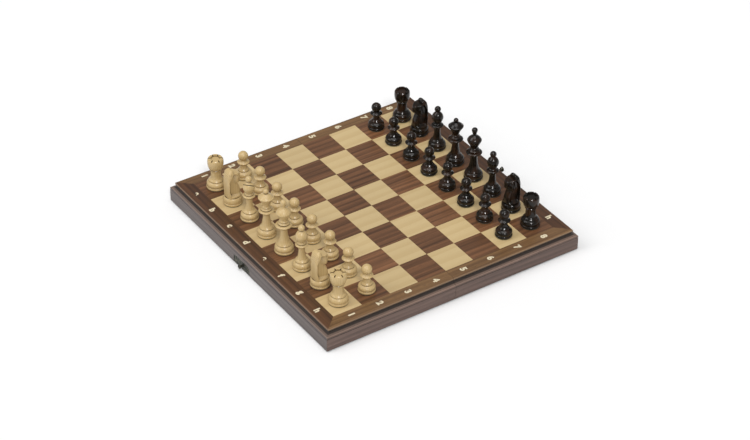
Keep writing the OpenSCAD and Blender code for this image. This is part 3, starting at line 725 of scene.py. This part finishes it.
man_meshes = {}
for kind, knots in OUTLINES.items():
    verts, faces = lathe(outline(knots) * MM)
    man_meshes[kind] = smooth_mesh(kind, verts, faces)
man_meshes["bishop"] = sawn(man_meshes["bishop"], [
    blade(SLIT_SIZE, SLIT_HEIGHT, SLIT_TURN, SLIT_TILT, SLIT_SIZE[0] / 2)])
man_meshes["rook"] = sawn(man_meshes["rook"], [
    blade((CUT_LENGTH, CUT_WIDTH, 2 * CUT_DEPTH), ROOK_TOP, 180 * i / CUTS) for i in range(CUTS)])

# ---------------------------------------------------------------- knights
# A knight's head is carved by hand from a sawn blank and doweled into a turned foot: a straight
# rounded mane down the back, a hollowed neck on each side, eyes, nostrils and a cut mouth.

KNIGHT_HEIGHT = 42.3
KNIGHT_FOOT = [[FELT, 9.6, 0], [1.9, 10.1, 1], [3, 9.8, 0], [3.3, 9.4, 0], [4.6, 9.8, 1],
               [6.6, 9.8, 1], [8.4, 9.2, 1], [9.4, 8.4, 0], [9.4, 0, 0]]
KNIGHT_BACK = [[8.4, -7.4, 0], [17, -7.9, 1], [31.4, -7.9, 1], [37.4, -6.9, 1], [40.9, -5, 1],
               [42.2, -2.8, 0]]
KNIGHT_FACE = [[8.4, 7.4, 0], [12.4, 7.6, 1], [16.4, 7.6, 1], [21.4, 6, 1], [25.6, 4.4, 1],
               [27.2, 4.8, 0], [27.7, 7, 0], [29.6, 8.2, 1], [35.2, 8, 1], [37.2, 6.6, 0],
               [38.2, 3.2, 1], [38.4, -0.4, 0], [41.9, -0.9, 0], [42.2, -2.6, 0]]
KNIGHT_WIDTH = [[8.4, 7.4, 0], [14.4, 7.3, 1], [20.4, 7.1, 1], [27.4, 7.1, 1], [33.4, 6.9, 1],
                [38.4, 6, 1], [41, 4.4, 1], [42.7, 2.4, 0]]
RING_POINTS = 96
KNIGHT_STEPS, LEAST_RISE = 12, 1e-6
CARVED_FROM, CARVED_TO, LEVEL_STEP, LAST_LEVEL = 8.4, 42.2, 0.33, 42.15
CORNER_X, CORNER_Y = 0.58, 0.54    # lower is squarer
EYE_X, EYE_Z, EYE_RADIUS, SOCKET_RADIUS = 3.3, 35.0, 0.95, 1.25
NOSTRIL_X, NOSTRIL_Z, NOSTRIL_RADIUS = 6.5, 31.0, 0.55
JAW_X, JAW_Z = 2.4, 31.2
HOLLOW_DEPTH, JAW_SWELL, SOCKET_DEPTH, EYE_SWELL = 3.3, 0.50, 0.38, 0.30
BROW_SWELL, NOSTRIL_DEPTH, MOUTH_DEPTH, MANE_CUT, EAR_NICK = 0.28, 0.55, 0.38, 0.22, 0.9


def step(value, low, high):
    t = np.clip((value - low) / (high - low), 0, 1)
    return t * t * (3 - 2 * t)


def rising(knots):
    """Heights and values of an outline, made strictly rising in height."""
    points = outline(knots, KNIGHT_STEPS)
    heights = np.maximum.accumulate(points[:, 0]) + np.arange(len(points)) * LEAST_RISE
    return heights, points[:, 1]


def knight_mesh():
    back, face, width = rising(KNIGHT_BACK), rising(KNIGHT_FACE), rising(KNIGHT_WIDTH)
    even = np.arange(CARVED_FROM, CARVED_TO, LEVEL_STEP)
    levels = np.unique(np.concatenate([face[0], even, [LAST_LEVEL]]))
    levels = levels[levels <= CARVED_TO]
    angles = 2 * np.pi * np.arange(RING_POINTS) / RING_POINTS
    cos, sin = np.cos(angles), np.sin(angles)
    square_x = np.sign(cos) * np.abs(cos) ** CORNER_X
    square_y = np.sign(sin) * np.abs(sin) ** CORNER_Y
    z = np.repeat(levels[:, None], RING_POINTS, 1)
    x_back = np.interp(levels, *back)[:, None]
    x_face = np.interp(levels, *face)[:, None]
    half = np.interp(levels, *width)[:, None]
    middle, reach = (x_back + x_face) / 2, (x_face - x_back) / 2
    x = middle + reach * square_x
    y = half * square_y
    side = np.abs(square_y)
    # the head is narrower towards the muzzle
    y = y * (1 - 0.30 * step(x, 2.0, 7.8) * step(z, 26.5, 28.5))
    # hollow of the neck: deepest beside the mane, whose crisp edge bends forward under the crest
    mane_edge = -6.2 + 5.4 * step(z, 28, 41) + 1.6 * (1 - step(z, 11, 19))
    hollow = step(x, mane_edge - 0.3, mane_edge + 0.5)
    hollow = hollow * step(z, 10.9, 13.2) * (1 - step(z, 36.0, 38.6))
    hollow = hollow * (1 - 0.45 * step(x, -2, 6))
    hollow = hollow * (1 - 0.75 * step(x, -0.5, 2.5) * step(z, 25.5, 28.5))
    # jaw, eye socket, eye, brow, nostril and mouth
    jaw = np.exp(-(((x - JAW_X) / 2.6) ** 2 + ((z - JAW_Z) / 2.9) ** 2) ** 2)
    from_eye = np.hypot(x - EYE_X, (z - EYE_Z) * 1.15)
    socket = np.exp(-(((from_eye - SOCKET_RADIUS) / 0.42) ** 2))
    eye = np.sqrt(np.clip(1 - (from_eye / EYE_RADIUS) ** 2, 0, 1))
    brow = np.exp(-(((z - 36.8 + 0.12 * (x - 3)) / 0.55) ** 2))
    brow = brow * step(x, 0.4, 1.4) * (1 - step(x, 5.2, 6.2))
    nostril = np.exp(-((np.hypot(x - NOSTRIL_X, z - NOSTRIL_Z) / NOSTRIL_RADIUS) ** 2))
    mouth = np.exp(-(((z - 29.1 - 0.10 * (7.8 - x)) / 0.28) ** 2)) * step(x, 4.6, 5.6)
    # shallow cuts across the top of the mane
    mane = 1 - step(x - x_back, 2.6, 3.6)
    cuts = (0.5 + 0.5 * np.cos(2 * np.pi * (z + 0.35 * x) / 1.9)) ** 6 * step(z, 27.5, 34) * mane
    carved = (HOLLOW_DEPTH * hollow - JAW_SWELL * jaw + SOCKET_DEPTH * socket - EYE_SWELL * eye
              - BROW_SWELL * brow + NOSTRIL_DEPTH * nostril + MOUTH_DEPTH * mouth)
    y = y - np.sign(y) * np.minimum(carved * side**0.7, np.abs(y) * 0.6)
    x = x + np.where(square_x < 0, 1, 0) * 0.28 * cuts * np.abs(square_x)
    y = y - np.sign(y) * MANE_CUT * cuts * side
    # a nick parts the two ears
    part = np.exp(-((y / 0.75) ** 2)) * step(x, -3.6, -1.6) * step(z, 39.2, 41.4)
    z = z - EAR_NICK * part
    verts = np.stack([x, y, z], -1).reshape(-1, 3)
    faces = []
    for level in range(len(levels) - 1):
        for i in range(RING_POINTS):
            j = (i + 1) % RING_POINTS
            a, b = level * RING_POINTS, (level + 1) * RING_POINTS
            faces.append((a + i, a + j, b + j, b + i))
    top = (len(levels) - 1) * RING_POINTS
    verts = np.vstack([verts, verts[top:].mean(0)])
    faces += [(top + i, top + (i + 1) % RING_POINTS, len(verts) - 1) for i in range(RING_POINTS)]
    faces.append(tuple(range(RING_POINTS - 1, -1, -1)))
    foot_verts, foot_faces = lathe(outline(KNIGHT_FOOT) * MM)
    start = len(verts)
    faces += [tuple(start + v for v in ids) for ids in foot_faces]
    return smooth_mesh("knight", [tuple(v) for v in verts * MM] + foot_verts, faces)


man_meshes["knight"] = knight_mesh()

# ---------------------------------------------------------------- finishes of the men
# White's boxwood keeps its pale yellow, with faint rings. Black's is stained nearly black, and its
# polish lets the wood show reddish brown where it is thin. Both get painted shade in grooves and
# hollows.

WAXED_PALE, WAXED_DARK = (0.600, 0.438, 0.206, 1), (0.505, 0.352, 0.152, 1)
# colour of the painted shade in white's grooves and hollows
WAXED_SHADE = (0.065, 0.030, 0.009, 1)
STAINED_PALE, STAINED_DARK = (0.0090, 0.0058, 0.0030, 1), (0.0035, 0.0026, 0.0018, 1)
# near black painted shade for black's grooves and hollows, and the reddish brown of thin polish
STAINED_SHADE, RUDDY = (0.001, 0.001, 0.001, 1), (0.036, 0.014, 0.005, 1)


def boxwood(name, pale, dark, shade_colour, **constants):
    """Turned boxwood: material, nodes, shader, the wood's outputs, its colour with painted shade,
    its height.
    """
    material, nodes, bsdf = new_material(name, **constants)
    place = nodes.place()
    x, y, z = (nodes.add("SeparateXYZ", {0: place}, out=i) for i in range(3))
    upright = nodes.add("CombineXYZ", {0: z, 1: x, 2: y})
    wood = use(nodes, sawn_wood, Vector=upright, Ring_Width=1.9 * MM, Wander=6 * MM)
    # painted shade from occlusion: narrow in grooves, wide in hollows such as the knight's neck
    groove_shade = use(nodes, occlusion_shade, Reach=2.8 * MM)["Inner"]
    hollow = use(nodes, occlusion_shade, Reach=9 * MM)["Inner"]
    shade_mask = nodes.math("ADD", nodes.math("MULTIPLY", groove_shade, 0.75),
                        nodes.math("MULTIPLY", hollow, 0.45), clamp=True)
    tone = nodes.math("ADD", nodes.math("MULTIPLY", wood["Rings"], 0.5),
                      nodes.math("MULTIPLY", wood["Streaks"], 0.5))
    body = nodes.mix(tone, pale, dark)
    shaded = nodes.mix(shade_mask, body, shade_colour)
    lathe_marks = nodes.add("TexWave", {"Vector": place, "Scale": 480.0, "Distortion": 0.4,
                                        "Detail": 2.0}, out=1, bands_direction="Z")
    height = nodes.math("ADD", nodes.math("MULTIPLY", lathe_marks, 0.25),
                        nodes.math("MULTIPLY", wood["Height"], 0.5))
    return material, nodes, bsdf, wood, shaded, height


waxed, n, shader, wood, colour, height = boxwood(
    "waxed_boxwood", WAXED_PALE, WAXED_DARK, WAXED_SHADE, Coat_Weight=0.25, Coat_Roughness=0.14)
connect(n, shader, Base_Color=colour,
        Roughness=n.math("ADD", 0.36, n.math("MULTIPLY", wood["Streaks"], 0.12)),
        Normal=n.add("Bump", {"Height": height, "Strength": 0.12, "Distance": 0.0001}))

stained, n, shader, wood, colour, height = boxwood(
    "stained_boxwood", STAINED_PALE, STAINED_DARK, STAINED_SHADE,
    Coat_Weight=0.45, Coat_Roughness=0.05, Specular_IOR_Level=0.15)
thin = n.ramp(n.noise(n.place(), 95.0, 3.0, 0.6), 0.45, 0.68)
ruddy = n.mix(n.math("MULTIPLY", thin, 0.75), colour, RUDDY)
connect(n, shader, Base_Color=ruddy,
        Roughness=n.math("ADD", 0.24, n.math("MULTIPLY", wood["Streaks"], 0.16)),
        Normal=n.add("Bump", {"Height": height, "Strength": 0.08, "Distance": 0.0001}))

# ---------------------------------------------------------------- the men on the board
# White stands on the first two ranks and black, turned about to face it, on the last two. Each
# man takes its place and height from its own solid.

FIRST_RANK = ("rook_a", "knight_b", "bishop_c", "queen", "king", "bishop_f", "knight_g", "rook_h")
FULL_HEIGHT = {"king": 62.2, "queen": 55.5, "bishop": 51.8,
               "knight": KNIGHT_HEIGHT, "rook": ROOK_TOP, "pawn": 31.5}
FOOT_RADIUS = {"king": 10.1, "queen": 10.0, "bishop": 9.6,
               "knight": 10.1, "rook": 10.3, "pawn": 9.0}
PAD_IN, GLUE_LINE = 0.75, 0.02
EDGE_WAVE, EDGE_FLUFF = 0.035, 0.02
# knights are drawn facing along X, and one white bishop stands turned round
KIND_TURN = {"knight": math.pi / 2}
MAN_TURN = {"white_bishop_f": math.pi}
rng = np.random.default_rng(64)


def pad_mesh(radius):
    """Felt disc with a slightly fluffy, uneven edge."""
    wobble = rng.normal(0, EDGE_WAVE, TURNS)
    rows = [(0.0, -0.10), (0.12, 0.0), (0.40, 0.03), (0.68, 0.0), (FELT - GLUE_LINE, -0.08)]
    points = [(height, radius + out) for height, out in rows]
    verts, faces = lathe(np.array(points) * MM)
    verts = np.array(verts)
    for row in range(len(rows)):
        ring_rows = slice(row * TURNS, (row + 1) * TURNS)
        fluff = rng.normal(0, EDGE_FLUFF, (TURNS, 1))
        verts[ring_rows, :2] *= 1 + (wobble[:, None] + fluff) / radius
    return smooth_mesh("pad", verts, faces)


for side, wood_finish, slot, turn in (("white", waxed, "boxwood", 0.0),
                                      ("black", stained, "ebonised_boxwood", math.pi)):
    for man in FIRST_RANK + tuple(f"pawn_{letter}" for letter in FILE_NAMES):
        node = f"{side}_{man}"
        kind = man.split("_")[0]
        low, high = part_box(node)
        centre = Vector(((low[0] + high[0]) / 2, (low[1] + high[1]) / 2, low[2]))
        turn_about = turn + KIND_TURN.get(kind, 0.0) + MAN_TURN.get(node, 0.0)
        tall = (high[2] - low[2]) / (FULL_HEIGHT[kind] * MM)
        place = (Matrix.Translation(centre) @ Matrix.Rotation(turn_about, 4, "Z")
                 @ Matrix.Diagonal((1, 1, tall, 1)))
        mesh = man_meshes[kind].copy()
        mesh.transform(place)
        piece = put(f"{node}_wood", mesh, wood_finish)
        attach(piece, f"{node}_man")
        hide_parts(node)
        mesh = pad_mesh(FOOT_RADIUS[kind] - PAD_IN)
        mesh.transform(place)
        piece = put(f"{node}_felt", mesh, felt)
        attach(piece, f"{node}_man")
